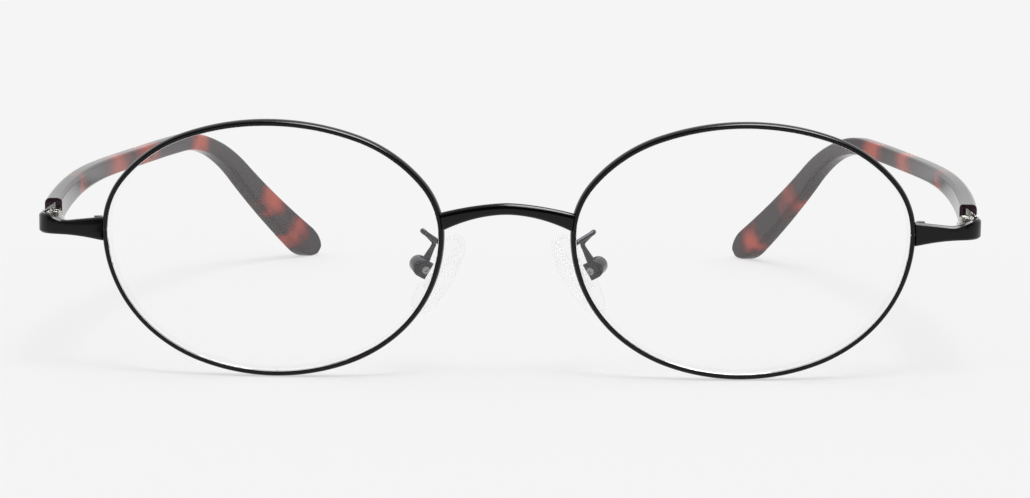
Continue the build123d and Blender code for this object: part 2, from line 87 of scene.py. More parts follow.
# Baked black lacquer on nickel alloy wire: near black and wet, with the soft unevenness of a sprayed coat
def makeLacquer():
    lacquer = {"colour": "#060505", "specular": 0.24, "dull": 0.22, "glossy": 0.14, "peelSize": 0.7,
               "peelHeight": 0.003, "dustSize": 0.12, "dustLimits": (0.35, 0.65)}
    material, tree = newMaterial("blackBakedLacquer")
    place = addNode(tree, "ShaderNodeTexCoord")
    peel = addNode(tree, "ShaderNodeTexNoise", {"Scale": 1 / (lacquer["peelSize"] * mm), "Detail": 2.0},
                   {"Vector": place.outputs["Object"]})
    dust = addNode(tree, "ShaderNodeTexNoise", {"Scale": 1 / (lacquer["dustSize"] * mm), "Detail": 1.0},
                   {"Vector": place.outputs["Object"]})
    gloss = addNode(tree, "ShaderNodeMapRange",
                    {"From Min": lacquer["dustLimits"][0], "From Max": lacquer["dustLimits"][1],
                     "To Min": lacquer["glossy"], "To Max": lacquer["dull"]},
                    {"Value": dust.outputs["Fac"]})
    bump = addNode(tree, "ShaderNodeBump", {"Strength": 0.3, "Distance": lacquer["peelHeight"] * mm},
                   {"Height": peel.outputs["Fac"]})
    shader = addNode(tree, "ShaderNodeBsdfPrincipled",
                     {"Base Color": linearColour(lacquer["colour"]), "IOR": 1.5,
                      "Specular IOR Level": lacquer["specular"]},
                     {"Roughness": gloss.outputs["Result"], "Normal": bump.outputs["Normal"]})
    addNode(tree, "ShaderNodeOutputMaterial", None, {"Surface": shader.outputs["BSDF"]})
    return material


# Polished cellulose acetate, cut from a tortoise sheet: near-black brown with glowing orange-red clouds
def makeAcetate():
    # colours go from the ground between the clouds to the middle of one, each with its place on the ramp
    acetate = {"colours": [(0.08, "#24151d"), (0.32, "#2f0f10"), (0.62, "#76201c"), (0.95, "#b0442a")],
               "cloudSize": 12.0, "cloudLimits": (0.52, 0.9), "alongStretch": 0.6, "swirlSize": 7.0,
               "swirl": 4.5, "roughness": 0.14, "specular": 0.24, "speckSize": 0.5, "speck": 0.05}
    # the larger clouds: where they lie and how far they reach
    clouds = [(-65.3, -6.0, 22.6, 13.0), (-63.2, 8.0, 25.4, 11.0), (-57.4, 31.0, 24.4, 7.0),
              (-46.8, 57.5, 12.4, 7.0), (-44.0, 64.5, 5.4, 6.0), (-67.6, -33.0, 21.6, 8.0),
              (64.4, 3.0, 24.6, 10.0), (60.8, 20.0, 25.4, 9.0), (48.8, 54.5, 13.6, 7.5),
              (42.6, 65.5, 4.2, 6.5), (67.6, -22.0, 23.0, 7.0)]
    material, tree = newMaterial("polishedTortoiseAcetate")
    place = addNode(tree, "ShaderNodeTexCoord")
    swirl = addNode(tree, "ShaderNodeTexNoise", {"Scale": 1 / (acetate["swirlSize"] * mm), "Detail": 2.0},
                    {"Vector": place.outputs["Object"]})
    centred = addNode(tree, "ShaderNodeVectorMath", {"operation": "SUBTRACT", 1: (0.5, 0.5, 0.5)},
                      {0: swirl.outputs["Color"]})
    drift = addNode(tree, "ShaderNodeVectorMath", {"operation": "SCALE", "Scale": 2 * acetate["swirl"] * mm},
                    {0: centred.outputs["Vector"]})
    moved = addNode(tree, "ShaderNodeVectorMath", {"operation": "ADD"},
                    {0: place.outputs["Object"], 1: drift.outputs["Vector"]})
    along = addNode(tree, "ShaderNodeMapping", {"Scale": (1.0, acetate["alongStretch"], 1.0)},
                    {"Vector": moved.outputs["Vector"]})
    noise = addNode(tree, "ShaderNodeTexNoise",
                    {"Scale": 1 / (acetate["cloudSize"] * mm), "Detail": 3.0, "Roughness": 0.5},
                    {"Vector": along.outputs["Vector"]})
    cloudy = addNode(tree, "ShaderNodeMapRange",
                     {"From Min": acetate["cloudLimits"][0], "From Max": acetate["cloudLimits"][1]},
                     {"Value": noise.outputs["Fac"]}).outputs["Result"]
    for x, y, z, reach in clouds:
        away = addNode(tree, "ShaderNodeVectorMath", {"operation": "DISTANCE", 1: (x * mm, y * mm, z * mm)},
                       {0: moved.outputs["Vector"]})
        cloud = addNode(tree, "ShaderNodeMapRange",
                        {"From Min": reach * mm, "From Max": 0.0, "interpolation_type": "SMOOTHSTEP"},
                        {"Value": away.outputs["Value"]})
        cloudy = addNode(tree, "ShaderNodeMath", {"operation": "MAXIMUM"},
                         {0: cloudy, 1: cloud.outputs["Result"]}).outputs["Value"]
    speck = addNode(tree, "ShaderNodeTexNoise", {"Scale": 1 / (acetate["speckSize"] * mm), "Detail": 2.0},
                    {"Vector": place.outputs["Object"]})
    grain = addNode(tree, "ShaderNodeMapRange", {"To Min": -acetate["speck"], "To Max": acetate["speck"]},
                    {"Value": speck.outputs["Fac"]})
    amount = addNode(tree, "ShaderNodeMath", {"operation": "ADD"}, {0: cloudy, 1: grain.outputs["Result"]})
    ramp = addNode(tree, "ShaderNodeValToRGB", None, {"Fac": amount.outputs["Value"]})
    stops = ramp.color_ramp.elements
    stops.remove(stops[1])
    stops[0].position, stops[0].color = acetate["colours"][0][0], linearColour(acetate["colours"][0][1])
    for position, colour in acetate["colours"][1:]:
        stops.new(position).color = linearColour(colour)
    shader = addNode(tree, "ShaderNodeBsdfPrincipled",
                     {"Roughness": acetate["roughness"], "IOR": 1.48,
                      "Specular IOR Level": acetate["specular"]},
                     {"Base Color": ramp.outputs["Color"]})
    addNode(tree, "ShaderNodeOutputMaterial", None, {"Surface": shader.outputs["BSDF"]})
    return material


# A clear plastic: see-through, and its shadow is as light as the real one's. Bare is the share of it that
# shows no skin at all, and shadow the share of light that it lets through
def makeClear(name, colour, roughness, ior, specular, bare, shadow):
    material, tree = newMaterial(name)
    skin = addNode(tree, "ShaderNodeBsdfPrincipled",
                   {"Base Color": linearColour(colour), "Roughness": roughness, "IOR": ior,
                    "Specular IOR Level": specular, "Transmission Weight": 1.0})
    through = addNode(tree, "ShaderNodeBsdfTransparent", {"Color": linearColour(colour)})
    path = addNode(tree, "ShaderNodeLightPath")
    amount = addNode(tree, "ShaderNodeMapRange", {"To Min": bare, "To Max": shadow},
                     {"Value": path.outputs["Is Shadow Ray"]})
    mix = addNode(tree, "ShaderNodeMixShader", None,
                  {0: amount.outputs["Result"], 1: skin.outputs["BSDF"], 2: through.outputs["BSDF"]})
    addNode(tree, "ShaderNodeOutputMaterial", None, {"Surface": mix.outputs["Shader"]})
    return material


# A metal whose finish is left by cutting or drawing: fine scratches that run one way
def makeMetal(name, colour, roughness, scratchWidth, scratchLength):
    scratched = {"smoothest": 0.75, "roughest": 1.3, "depth": 0.002}
    material, tree = newMaterial(name)
    place = addNode(tree, "ShaderNodeTexCoord")
    lines = addNode(tree, "ShaderNodeMapping", {"Scale": (1.0, scratchWidth / scratchLength, 1.0)},
                    {"Vector": place.outputs["Object"]})
    scratch = addNode(tree, "ShaderNodeTexNoise", {"Scale": 1 / (scratchWidth * mm), "Detail": 3.0},
                      {"Vector": lines.outputs["Vector"]})
    gloss = addNode(tree, "ShaderNodeMapRange",
                    {"To Min": roughness * scratched["smoothest"],
                     "To Max": roughness * scratched["roughest"]},
                    {"Value": scratch.outputs["Fac"]})
    bump = addNode(tree, "ShaderNodeBump", {"Strength": 0.2, "Distance": scratched["depth"] * mm},
                   {"Height": scratch.outputs["Fac"]})
    shader = addNode(tree, "ShaderNodeBsdfPrincipled",
                     {"Base Color": linearColour(colour), "Metallic": 1.0},
                     {"Roughness": gloss.outputs["Result"], "Normal": bump.outputs["Normal"]})
    addNode(tree, "ShaderNodeOutputMaterial", None, {"Surface": shader.outputs["BSDF"]})
    return material


blackLacquer = makeLacquer()
tortoiseAcetate = makeAcetate()
# cast lens plastic under an antireflective coat: hardly seen, with a faint line at its edge
clearLensPlastic = makeClear("coatedLensPlastic", "#ffffff", 0.0, 1.5, 0.06, 0.0, 0.97)
# moulded silicone: clear, with a soft skin that only its outline shows
clearSilicone = makeClear("clearMouldedSilicone", "#fefefe", 0.05, 1.41, 0.08, 0.94, 0.98)
clearNylon = makeClear("clearMouldedNylon", "#fdfdfd", 0.1, 1.45, 0.1, 0.87, 0.97)
# machined nickel silver is pale satin grey; the drawn steel of the core and the turned screws are darker
nickelSilver = makeMetal("satinNickelSilver", "#d2d0cb", 0.36, 0.12, 1.5)
coreSteel = makeMetal("drawnSteelWire", "#8d8c88", 0.34, 0.06, 2.0)
screwSteel = makeMetal("turnedScrewSteel", "#8b8a88", 0.22, 0.08, 0.3)
# gunmetal plating on the pad wires and boxes: smoky dark grey
gunmetal = makeMetal("gunmetalPlating", "#232328", 0.2, 0.1, 0.8)
print("materials made")


def finishPiece(mesh, name, cadNode, material):
    # stands for one CAD node and moves with its body
    mesh.materials.clear()
    mesh.materials.append(material)
    mesh.name = name
    piece = bpy.data.objects.new(name, mesh)
    bpy.context.scene.collection.objects.link(piece)
    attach(piece, nodes[cadNode]["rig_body"])
    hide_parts(cadNode)


def dressNode(nodeName, material):
    mesh = nodes[nodeName].data
    mesh.materials.clear()
    mesh.materials.append(material)


weld = {"own": 0.0002, "cad": 0.0005}  # points nearer to each other than this are one
allSmooth = 181  # no edge is as sharp as this


def shadeByAngle(work, sharpAngle):
    for face in work.faces:
        face.smooth = True
    for edge in work.edges:
        edge.smooth = edge.calc_face_angle(0) < math.radians(sharpAngle)


def closeMesh(work, name, sharpAngle):
    bmesh.ops.remove_doubles(work, verts=work.verts, dist=weld["own"] * mm)
    bmesh.ops.recalc_face_normals(work, faces=work.faces)
    shadeByAngle(work, sharpAngle)
    mesh = bpy.data.meshes.new(name)
    work.to_mesh(mesh)
    work.free()
    return mesh


def ringMesh(rings, name, sharpAngle=40):
    # a closed body from rings of as many points each; a ring of one point is a pole
    work = bmesh.new()
    loops = [[work.verts.new(Vector(point) * mm) for point in ring] for ring in rings]
    for first, second in zip(loops, loops[1:]):
        count = max(len(first), len(second))
        for step in range(count):
            after = (step + 1) % count
            corners = [first[step % len(first)], second[step % len(second)],
                       second[after % len(second)], first[after % len(first)]]
            work.faces.new(list(dict.fromkeys(corners)))
    for loop in (loops[0], loops[-1]):
        if len(loop) > 2:
            work.faces.new(loop)
    return closeMesh(work, name, sharpAngle)


def mirrored(mesh):
    mesh.transform(Matrix.Scale(-1, 4, (1, 0, 0)))
    mesh.flip_normals()


cornerSteps = 6  # in each round corner of a section
bendSteps = 8  # in each round bend of a wire


def roundedSection(low, high, halfHeight, lowRound, highRound):
    # a rectangle across low to high with round corners, as (across, up)
    points = []
    for across, up, rounding, start in ((high, 1, highRound, 0), (low, 1, lowRound, 90),
                                        (low, -1, lowRound, 180), (high, -1, highRound, 270)):
        centre = across - rounding if across == high else across + rounding
        for step in range(cornerSteps + 1):
            angle = math.radians(start + 90 * step / cornerSteps)
            points.append((centre + rounding * math.cos(angle),
                           up * (halfHeight - rounding) + rounding * math.sin(angle)))
    return points


eyewire = {
    "halfWidth": 24.0, "topHeight": 16.12, "topSideShare": 1.09, "topAngles": (39.0, 70.0),
    "bottomHeight": 20.43, "bottomSideShare": 1.108, "bottomAngles": (50.0, 70.0),
    "turn": -1.22, "centre": (33.33, -68.8205, 20.6275), "tilt": 5.74, "wrap": 3.59, "baseRadius": 120.0,
    "width": 0.78, "depth": 1.9, "bulge": 0.42, "bulgeStep": 10, "innerRound": 0.1,
    "grooveMouth": 0.55, "grooveFloor": 0.09, "grooveDepth": 0.46,
    "splitZ": 21.1275, "splitGap": 0.15, "stepsInArc": 36,
}
lensShape = {"thickness": 1.7, "clearance": 0.04, "bevelReach": 0.42, "bevelTip": 0.05, "bevelFoot": 0.51,
             "rings": 16, "edgeSteps": 24}


def eyeMatrix():
    # from the lens's own frame (x outwards, y up, z to the front) to the object's, in millimetres;
    # the turn is about the upright axis, as in the CAD
    tilt, wrap = math.radians(eyewire["tilt"]), math.radians(eyewire["wrap"])
    outward = Vector((math.cos(wrap), math.sin(wrap) * math.cos(tilt), math.sin(wrap) * math.sin(tilt)))
    front = -Vector((-math.sin(wrap), math.cos(wrap) * math.cos(tilt), math.cos(wrap) * math.sin(tilt)))
    leaning = Matrix((outward, front.cross(outward), front)).transposed().to_4x4()
    turned = Matrix.Rotation(math.radians(eyewire["turn"]), 4, "Z")
    return Matrix.Translation(eyewire["centre"]) @ turned @ leaning


def halfOval(height, sideShare, angles):
    # side, shoulder and middle arcs of one quarter: centre x, centre y, radius, start and end angle
    sideEnd, shoulderEnd = (math.radians(angle) for angle in angles)
    halfWidth = eyewire["halfWidth"]
    side = sideShare * height ** 2 / halfWidth
    across, rise = math.cos(sideEnd) - math.cos(shoulderEnd), math.sin(shoulderEnd) - math.sin(sideEnd)
    leftOver = 1 - math.sin(shoulderEnd)
    wide, tall = halfWidth - side * (1 - math.cos(sideEnd)), height - side * math.sin(sideEnd)
    scale = across * leftOver - rise * math.cos(shoulderEnd)
    shoulder = (wide * leftOver - tall * math.cos(shoulderEnd)) / scale
    middle = (across * tall - rise * wide) / scale
    sideX = halfWidth - side
    shoulderX = sideX + (side - shoulder) * math.cos(sideEnd)
    shoulderY = (side - shoulder) * math.sin(sideEnd)
    middleY = shoulderY + (shoulder - middle) * math.sin(shoulderEnd)
    return [(sideX, 0, side, 0, sideEnd), (shoulderX, shoulderY, shoulder, sideEnd, shoulderEnd),
            (0, middleY, middle, shoulderEnd, math.pi / 2)]


def ovalPoints(grow, steps):
    # once round from the outer side over the top; arcs that share a tangent keep it as they grow
    quarters = [halfOval(eyewire["topHeight"], eyewire["topSideShare"], eyewire["topAngles"]),
                halfOval(eyewire["bottomHeight"], eyewire["bottomSideShare"], eyewire["bottomAngles"])]
    points = []
    for arcs, signX, signY in ((quarters[0], 1, 1), (quarters[0], -1, 1), (quarters[1], -1, -1),
                               (quarters[1], 1, -1)):
        quarter = []
        for centreX, centreY, radius, start, end in arcs:
            for step in range(steps):
                angle = start + (end - start) * step / steps
                quarter.append((signX * (centreX + (radius + grow) * math.cos(angle)),
                                signY * (centreY + (radius + grow) * math.sin(angle))))
        top = (0.0, signY * (arcs[2][1] + arcs[2][2] + grow))
        points += quarter if signX == signY else [top] + quarter[:0:-1]
    return points


def sag(x, y, radius):
    return math.sqrt(radius ** 2 - x ** 2 - y ** 2) - eyewire["baseRadius"]


def eyewirePath():
    # the centre line, from the upper face of the split round to the lower one
    place = eyeMatrix()
    points = [Vector((x, y, sag(x, y, eyewire["baseRadius"])))
              for x, y in ovalPoints(0, eyewire["stepsInArc"])]
    heights = [(place @ point).z - eyewire["splitZ"] for point in points]
    edge = eyewire["splitGap"] / 2

    def crossing(level):
        step = next(i for i in range(len(points)) if heights[i] < level <= heights[i + 1])
        share = (level - heights[step]) / (heights[step + 1] - heights[step])
        return step, points[step].lerp(points[step + 1], share)

    (first, start), (last, end) = crossing(edge), crossing(-edge)
    return [start] + points[first + 1:] + points[:last + 1] + [end]


def polyCurve(name, points, closed, radii=None):
    curve = bpy.data.curves.new(name, "CURVE")
    curve.dimensions = "3D"
    spline = curve.splines.new("POLY")
    spline.points.add(len(points) - 1)
    for number, (point, place) in enumerate(zip(spline.points, points)):
        point.co = (place[0] * mm, place[1] * mm, place[2] * mm, 1.0)
        point.radius = radii[number] if radii else 1.0
    spline.use_cyclic_u = closed
    holder = bpy.data.objects.new(name, curve)
    bpy.context.scene.collection.objects.link(holder)
    return holder


def eyewireProfile():
    # a wire with a bulging outer side and the lens groove in its inner one; x is outwards, y is the depth
    half, depth, bulge = eyewire["width"] / 2, eyewire["depth"] / 2, eyewire["bulge"]
    outer = [(half - bulge + bulge * math.cos(math.radians(angle)), depth * math.sin(math.radians(angle)))
             for angle in range(-90, 91, eyewire["bulgeStep"])]
    corner = cornerSteps + 1
    inner = roundedSection(-half, half, depth, eyewire["innerRound"], eyewire["innerRound"])
    floor = eyewire["grooveDepth"] - half
    groove = [(-half, eyewire["grooveMouth"]), (floor, eyewire["grooveFloor"]),
              (floor, -eyewire["grooveFloor"]), (-half, -eyewire["grooveMouth"])]
    return [(x, y, 0) for x, y in outer + inner[corner:2 * corner] + groove + inner[2 * corner:3 * corner]]


def sweepTree(name, bent):
    # sweeps a profile along the object's own curve; a bent one first gets round corners
    tree = bpy.data.node_groups.new(name, "GeometryNodeTree")
    tree.interface.new_socket("Geometry", in_out="INPUT", socket_type="NodeSocketGeometry")
    tree.interface.new_socket("Profile", in_out="INPUT", socket_type="NodeSocketObject")
    tree.interface.new_socket("Bend Radius", in_out="INPUT", socket_type="NodeSocketFloat")
    tree.interface.new_socket("Material", in_out="INPUT", socket_type="NodeSocketMaterial")
    tree.interface.new_socket("Geometry", in_out="OUTPUT", socket_type="NodeSocketGeometry")
    given = addNode(tree, "NodeGroupInput")
    if bent:
        line = addNode(tree, "GeometryNodeFilletCurve",
                       {"mode": "POLY", "Count": bendSteps, "Limit Radius": True},
                       {"Curve": given.outputs["Geometry"], "Radius": given.outputs["Bend Radius"]})
    else:
        line = addNode(tree, "GeometryNodeSetCurveNormal", {"mode": "Z_UP"},
                       {"Curve": given.outputs["Geometry"]})
    profile = addNode(tree, "GeometryNodeObjectInfo", None, {"Object": given.outputs["Profile"]})
    width = addNode(tree, "GeometryNodeInputRadius")
    swept = addNode(tree, "GeometryNodeCurveToMesh", {"Fill Caps": True},
                    {"Curve": line.outputs["Curve"], "Profile Curve": profile.outputs["Geometry"],
                     "Scale": width.outputs["Radius"]})
    solid = addNode(tree, "GeometryNodeRealizeInstances", None, {"Geometry": swept.outputs["Mesh"]})
    finished = addNode(tree, "GeometryNodeSetMaterial", None,
                       {"Geometry": solid.outputs["Geometry"], "Material": given.outputs["Material"]})
    addNode(tree, "NodeGroupOutput", None, {"Geometry": finished.outputs["Geometry"]})
    return tree


def treeMesh(tree, holder, inputs, name, sharpAngle):
    # what the tree makes of the holder, as a plain mesh
    modifier = holder.modifiers.new("shape", "NODES")
    modifier.node_group = tree
    sockets = {item.name: item.identifier for item in tree.interface.items_tree if item.in_out == "INPUT"}
    for socket, value in inputs.items():
        modifier[sockets[socket]] = value
    graph = bpy.context.evaluated_depsgraph_get()
    made = bpy.data.meshes.new_from_object(holder.evaluated_get(graph))
    holder.modifiers.remove(modifier)
    work = bmesh.new()
    work.from_mesh(made)
    return closeMesh(work, name, sharpAngle)


def lensMesh():
    # two spherical faces and a V bevel, as rings from the middle of the front to the middle of the back
    half = lensShape["thickness"] / 2
    wall = -eyewire["width"] / 2
    rim = wall - lensShape["clearance"]
    frontRadius, backRadius = eyewire["baseRadius"] + half, eyewire["baseRadius"] - half
    edge = ovalPoints(rim, lensShape["edgeSteps"])
    tip = ovalPoints(wall + lensShape["bevelReach"], lensShape["edgeSteps"])
    shares = [step / lensShape["rings"] for step in range(1, lensShape["rings"] + 1)]

    def face(radius, share):
        return [(x * share, y * share, sag(x * share, y * share, radius)) for x, y in edge]

    def wallRing(points, level):
        return [(x, y, sag(x, y, eyewire["baseRadius"]) + level) for x, y in points]

    rings = [[(0, 0, sag(0, 0, frontRadius))]] + [face(frontRadius, share) for share in shares]
    rings += [wallRing(edge, lensShape["bevelFoot"]), wallRing(tip, lensShape["bevelTip"]),
              wallRing(tip, -lensShape["bevelTip"]), wallRing(edge, -lensShape["bevelFoot"])]
    rings += [face(backRadius, share) for share in reversed(shares)] + [[(0, 0, sag(0, 0, backRadius))]]
    return ringMesh(rings, "lensShape", sharpAngle=25)


wireSweep = sweepTree("sweepWire", False)
bentSweep = sweepTree("sweepBentWire", True)
profileCurve = polyCurve("eyewireProfile", eyewireProfile(), True)
pathCurve = polyCurve("eyewirePath", eyewirePath(), False)
eyePlace = Matrix.Scale(mm, 4) @ eyeMatrix() @ Matrix.Scale(1 / mm, 4)
for sideName, side in sides.items():
    rimMesh = treeMesh(wireSweep, pathCurve, {"Profile": profileCurve, "Material": blackLacquer}, "rimShape",
                       sharpAngle=35)
    glassMesh = lensMesh()
    for mesh in (rimMesh, glassMesh):
        mesh.transform(eyePlace)
        if side < 0:
            mirrored(mesh)
    finishPiece(rimMesh, "eyewire_" + sideName, "rim_" + sideName, blackLacquer)
    finishPiece(glassMesh, "clearLens_" + sideName, "lens_" + sideName, clearLensPlastic)
bpy.data.objects.remove(profileCurve)
bpy.data.objects.remove(pathCurve)
print("eyewires and lenses made")


bridge = {"topZ": 25.5475, "waist": 1.67, "depth": 1.5, "topFall": 1.87, "topPower": 1.6, "bottomFall": 2.97,
          "bottomPower": 1.85, "halfSpan": 10.2, "frontY": -68.5155, "bow": 1.5, "rounding": 0.72,
          "solderDepth": 0.22, "seatZ": 22.5, "seatReach": 8.0, "wallBeyond": 20.0, "wallSteps": 24,
          "rings": 64}


def bridgeMesh():
    # each point's height says how far it runs out to the eyewire, so the ends end inside the wire's wall
    place = eyeMatrix()
    outline = ovalPoints(eyewire["width"] / 2 - bridge["solderDepth"], bridge["wallSteps"])
    wall = [place @ Vector((x, y, sag(x, y, eyewire["baseRadius"]))) for x, y in outline
            if x < -bridge["wallBeyond"] and abs(y) < bridge["seatReach"]]
    wall.sort(key=lambda point: point.z)

    def reach(z):
        after = next(i for i, point in enumerate(wall) if point.z > z)
        low, high = wall[after - 1], wall[after]
        return low.x + (high.x - low.x) * (z - low.z) / (high.z - low.z)

    rings = []
    for step in range(bridge["rings"] + 1):
        share = 2 * step / bridge["rings"] - 1
        out = abs(share) * reach(bridge["seatZ"]) / bridge["halfSpan"]
        top = bridge["topZ"] - bridge["topFall"] * out ** bridge["topPower"]
        bottom = bridge["topZ"] - bridge["waist"] - bridge["bottomFall"] * out ** bridge["bottomPower"]
        front = bridge["frontY"] - bridge["bow"] * (1 - out ** 2)
        ring = []
        for depth, up in roundedSection(0, bridge["depth"], (top - bottom) / 2, bridge["rounding"],
                                        bridge["rounding"]):
            z = (top + bottom) / 2 + up
            ring.append((share * reach(z), front + depth, z))
        rings.append(ring)
    return ringMesh(rings, "bridgeShape")


finishPiece(bridgeMesh(), "archedBridge", "bridge", blackLacquer)
print("bridge made")


temple = {
    "start": (65.9, -58.3555, 22.7275), "endY": 70.06, "bendY": 38.1445, "splay": 6.6, "frontRadius": 222.0,
    "tipRadius": 150.0, "rise": 1.6, "drop": 37.5, "bendRadius": 34.5, "thickness": 2.5, "frontHeight": 3.8,
    "slimHeight": 2.9, "slimShare": 0.46, "tipHeight": 5.5, "tipRound": 4.6, "tipShare": 0.1, "tipGap": 0.4,
    "settle": 0.2, "outerRound": 0.8, "innerRound": 0.6, "frontRound": 0.15, "leastRound": 0.02,
    "squareReach": 6.0, "arch": 0.55, "archMiddle": 0.36, "frontRings": 4, "middleRings": 110, "tipRings": 18,
}


def templeX(y, offset):
    # two arcs in plan with one tangent; the offset is towards the outside
    startX, startY = temple["start"][:2]
    splay = math.radians(temple["splay"])
    turned = splay - (temple["bendY"] - startY) / temple["frontRadius"]
    radius = temple["frontRadius"]
    centreX, centreY = startX - radius * math.cos(splay), startY + radius * math.sin(splay)
    if y > centreY - (radius + offset) * math.sin(turned):
        shift = radius - temple["tipRadius"]
        centreX, centreY = centreX + shift * math.cos(turned), centreY - shift * math.sin(turned)
        radius = temple["tipRadius"]
    return centreX + math.sqrt((radius + offset) ** 2 - (centreY - y) ** 2)


def templeStations():
    # (y, z, slope, half height, distance from the front, distance from the tip) along the side's middle line
    startX, startY, startZ = temple["start"]
    rise, drop = math.radians(temple["rise"]), math.radians(temple["drop"])
    bendZ = startZ + (temple["bendY"] - startY) * math.tan(rise)
    first = (temple["bendY"] - startY) / math.cos(rise)
    last = (temple["endY"] - temple["bendY"]) / math.cos(drop)
    turn = rise + drop
    tangent = temple["bendRadius"] * math.tan(turn / 2)
    arc = temple["bendRadius"] * turn
    total = first + last - 2 * tangent + arc
    frontRings, middleRings, tipRings = temple["frontRings"], temple["middleRings"], temple["tipRings"]
    frontSteps = [temple["frontRound"] * (1 - math.cos(math.radians(90 * k / frontRings)))
                  for k in range(frontRings + 1)]
    tipSteps = [temple["tipRound"] * (1 - math.cos(math.radians(90 * k / tipRings))) for k in range(tipRings)]
    low, high = temple["frontRound"] * 2, total - tipSteps[-1] - temple["tipGap"]
    middle = [low + (high - low) * k / middleRings for k in range(middleRings + 1)]
    stations = []
    for distance in frontSteps + middle + [total - step for step in reversed(tipSteps)]:
        if distance < first - tangent:
            y, z, slope, past = distance * math.cos(rise), distance * math.sin(rise), rise, distance - first
        elif distance < first - tangent + arc:
            angle = (distance - first + tangent) / temple["bendRadius"]
            slope = rise - angle
            y = (first - tangent) * math.cos(rise) + temple["bendRadius"] * (math.sin(rise) - math.sin(slope))
            z = (first - tangent) * math.sin(rise) + temple["bendRadius"] * (math.cos(slope) - math.cos(rise))
            past = (angle / turn * 2 - 1) * tangent
        else:
            past = distance - (first - tangent + arc) + tangent
            slope = -drop
            y = temple["bendY"] - startY + past * math.cos(drop)
            z = bendZ - startZ - past * math.sin(drop) - temple["settle"] * (past / last) ** 2
        if past > 0:
            height = temple["slimHeight"] + (temple["tipHeight"] - temple["slimHeight"]) * past / last
        else:
            share = min((first + past) / first / temple["slimShare"], 1)
            height = temple["frontHeight"] + (temple["slimHeight"] - temple["frontHeight"]) * share
        hump = min((first + past) / first / temple["archMiddle"] / 2, 1)
        z += temple["arch"] * math.sin(math.pi * hump) ** 2
        stations.append((startY + y, startZ + z, slope, height / 2, distance, total - distance))
    return stations


def inset(rounding, distance):
    # how far a rounded end stands back at that distance from it
    if distance >= rounding:
        return 0.0
    return rounding - math.sqrt(rounding ** 2 - (rounding - distance) ** 2)


def templeMesh():
    # rounded sections along the arm, square cut in front and drawn in to a bullet at the tip
    half = temple["thickness"] / 2
    rings = []
    for y, z, slope, halfHeight, fromFront, fromTip in templeStations():
        square = inset(temple["frontRound"], fromFront)
        outer = min(temple["outerRound"] - inset(temple["outerRound"], fromTip), temple["outerRound"])
        inner = min(temple["innerRound"] - inset(temple["innerRound"], fromTip), temple["innerRound"])
        low = -half + temple["innerRound"] - inner + square
        high = half - temple["outerRound"] + outer - square
        bullet = math.sqrt(1 - max(1 - fromTip / temple["tipRound"], 0) ** 2)
        tall = halfHeight * max(bullet, temple["tipShare"]) - square
        lean = slope * min(fromFront / temple["squareReach"], 1)
        ring = []
        for across, up in roundedSection(low, high, tall, max(min(inner, tall), temple["leastRound"]),
                                         max(min(outer, tall), temple["leastRound"])):
            pointY, pointZ = y - up * math.sin(lean), z + up * math.cos(lean)
            ring.append((templeX(pointY, across), pointY, max(pointZ, 0)))
        rings.append(ring)
    return ringMesh(rings, "templeShape")


for sideName, side in sides.items():
    mesh = templeMesh()
    if side < 0:
        mirrored(mesh)
    finishPiece(mesh, "acetateTemple_" + sideName, "temple_" + sideName, tortoiseAcetate)
print("temples made")


pad = {
    "axisPoint": (12.2219, -60.9484, 15.3843), "back": (0.296198, 0.939693, 0.17101),
    "nose": (-0.813798, 0.34202, -0.469846), "length": 13.0, "width": 7.5, "backLevel": 1.55,
    "thickness": 2.5, "frontRound": 1.15, "backRound": 0.6, "crown": 0.12, "endShare": 0.8, "edgeSteps": 8,
    "points": 72,
}
padWire = {
    "foot": (9.4619, -66.2985, 19.3843), "behindFoot": (9.6048, -65.4155, 19.4843),
    "loopFront": (2.8, 2.75, 1.54), "loopBack": (2.8, 3.95, 1.54), "elbow": (1.1, 4.65, -0.3),
    "boxTop": (0.0, -1.32, -0.3), "radius": 0.35, "bendRadius": 0.75, "stemRadius": 0.58, "stemShare": 0.3,
    "solderDepth": 0.25, "profilePoints": 24,
}


def padMatrix():
    # x along the screw towards the back, y down the pad, z towards the nose
    back, nose = Vector(pad["back"]), Vector(pad["nose"])
    return Matrix.Translation(pad["axisPoint"]) @ Matrix((back, nose.cross(back), nose)).transposed().to_4x4()


def padMesh():
    # a cushion of ellipses with a rounder edge towards the nose
    top, steps = pad["backLevel"] + pad["thickness"], pad["edgeSteps"]
    quarter = [math.radians(90 * step / steps) for step in range(steps + 1)]
    # each level is how far it stands in from the widest ellipse, and its height
    levels = [(pad["backRound"] * (1 - math.sin(angle)),
               pad["backLevel"] + pad["backRound"] * (1 - math.cos(angle))) for angle in quarter]
    levels += [(pad["frontRound"] * (1 - math.cos(angle)),
                top - pad["crown"] - pad["frontRound"] * (1 - math.sin(angle))) for angle in quarter]
    for share in (step / steps for step in range(1, steps)):
        levels.append((pad["frontRound"] + (pad["width"] / 2 - pad["frontRound"]) * share,
                       top - pad["crown"] * (1 - share) ** 2))
    rings = [[(0, 0, pad["backLevel"])]]
    for inwards, height in levels:
        halfWidth = max(pad["width"] / 2 - inwards, 0)
        halfLength = max(pad["length"] / 2 - inwards * pad["length"] / pad["width"] * pad["endShare"], 0)
        turns = [2 * math.pi * step / pad["points"] for step in range(pad["points"])]
        rings.append([(halfWidth * math.cos(turn), halfLength * math.sin(turn), height) for turn in turns])
    rings.append([(0, 0, top)])
    place = padMatrix()
    return ringMesh([[place @ Vector(point) for point in ring] for ring in rings], "padShape", sharpAngle=50)


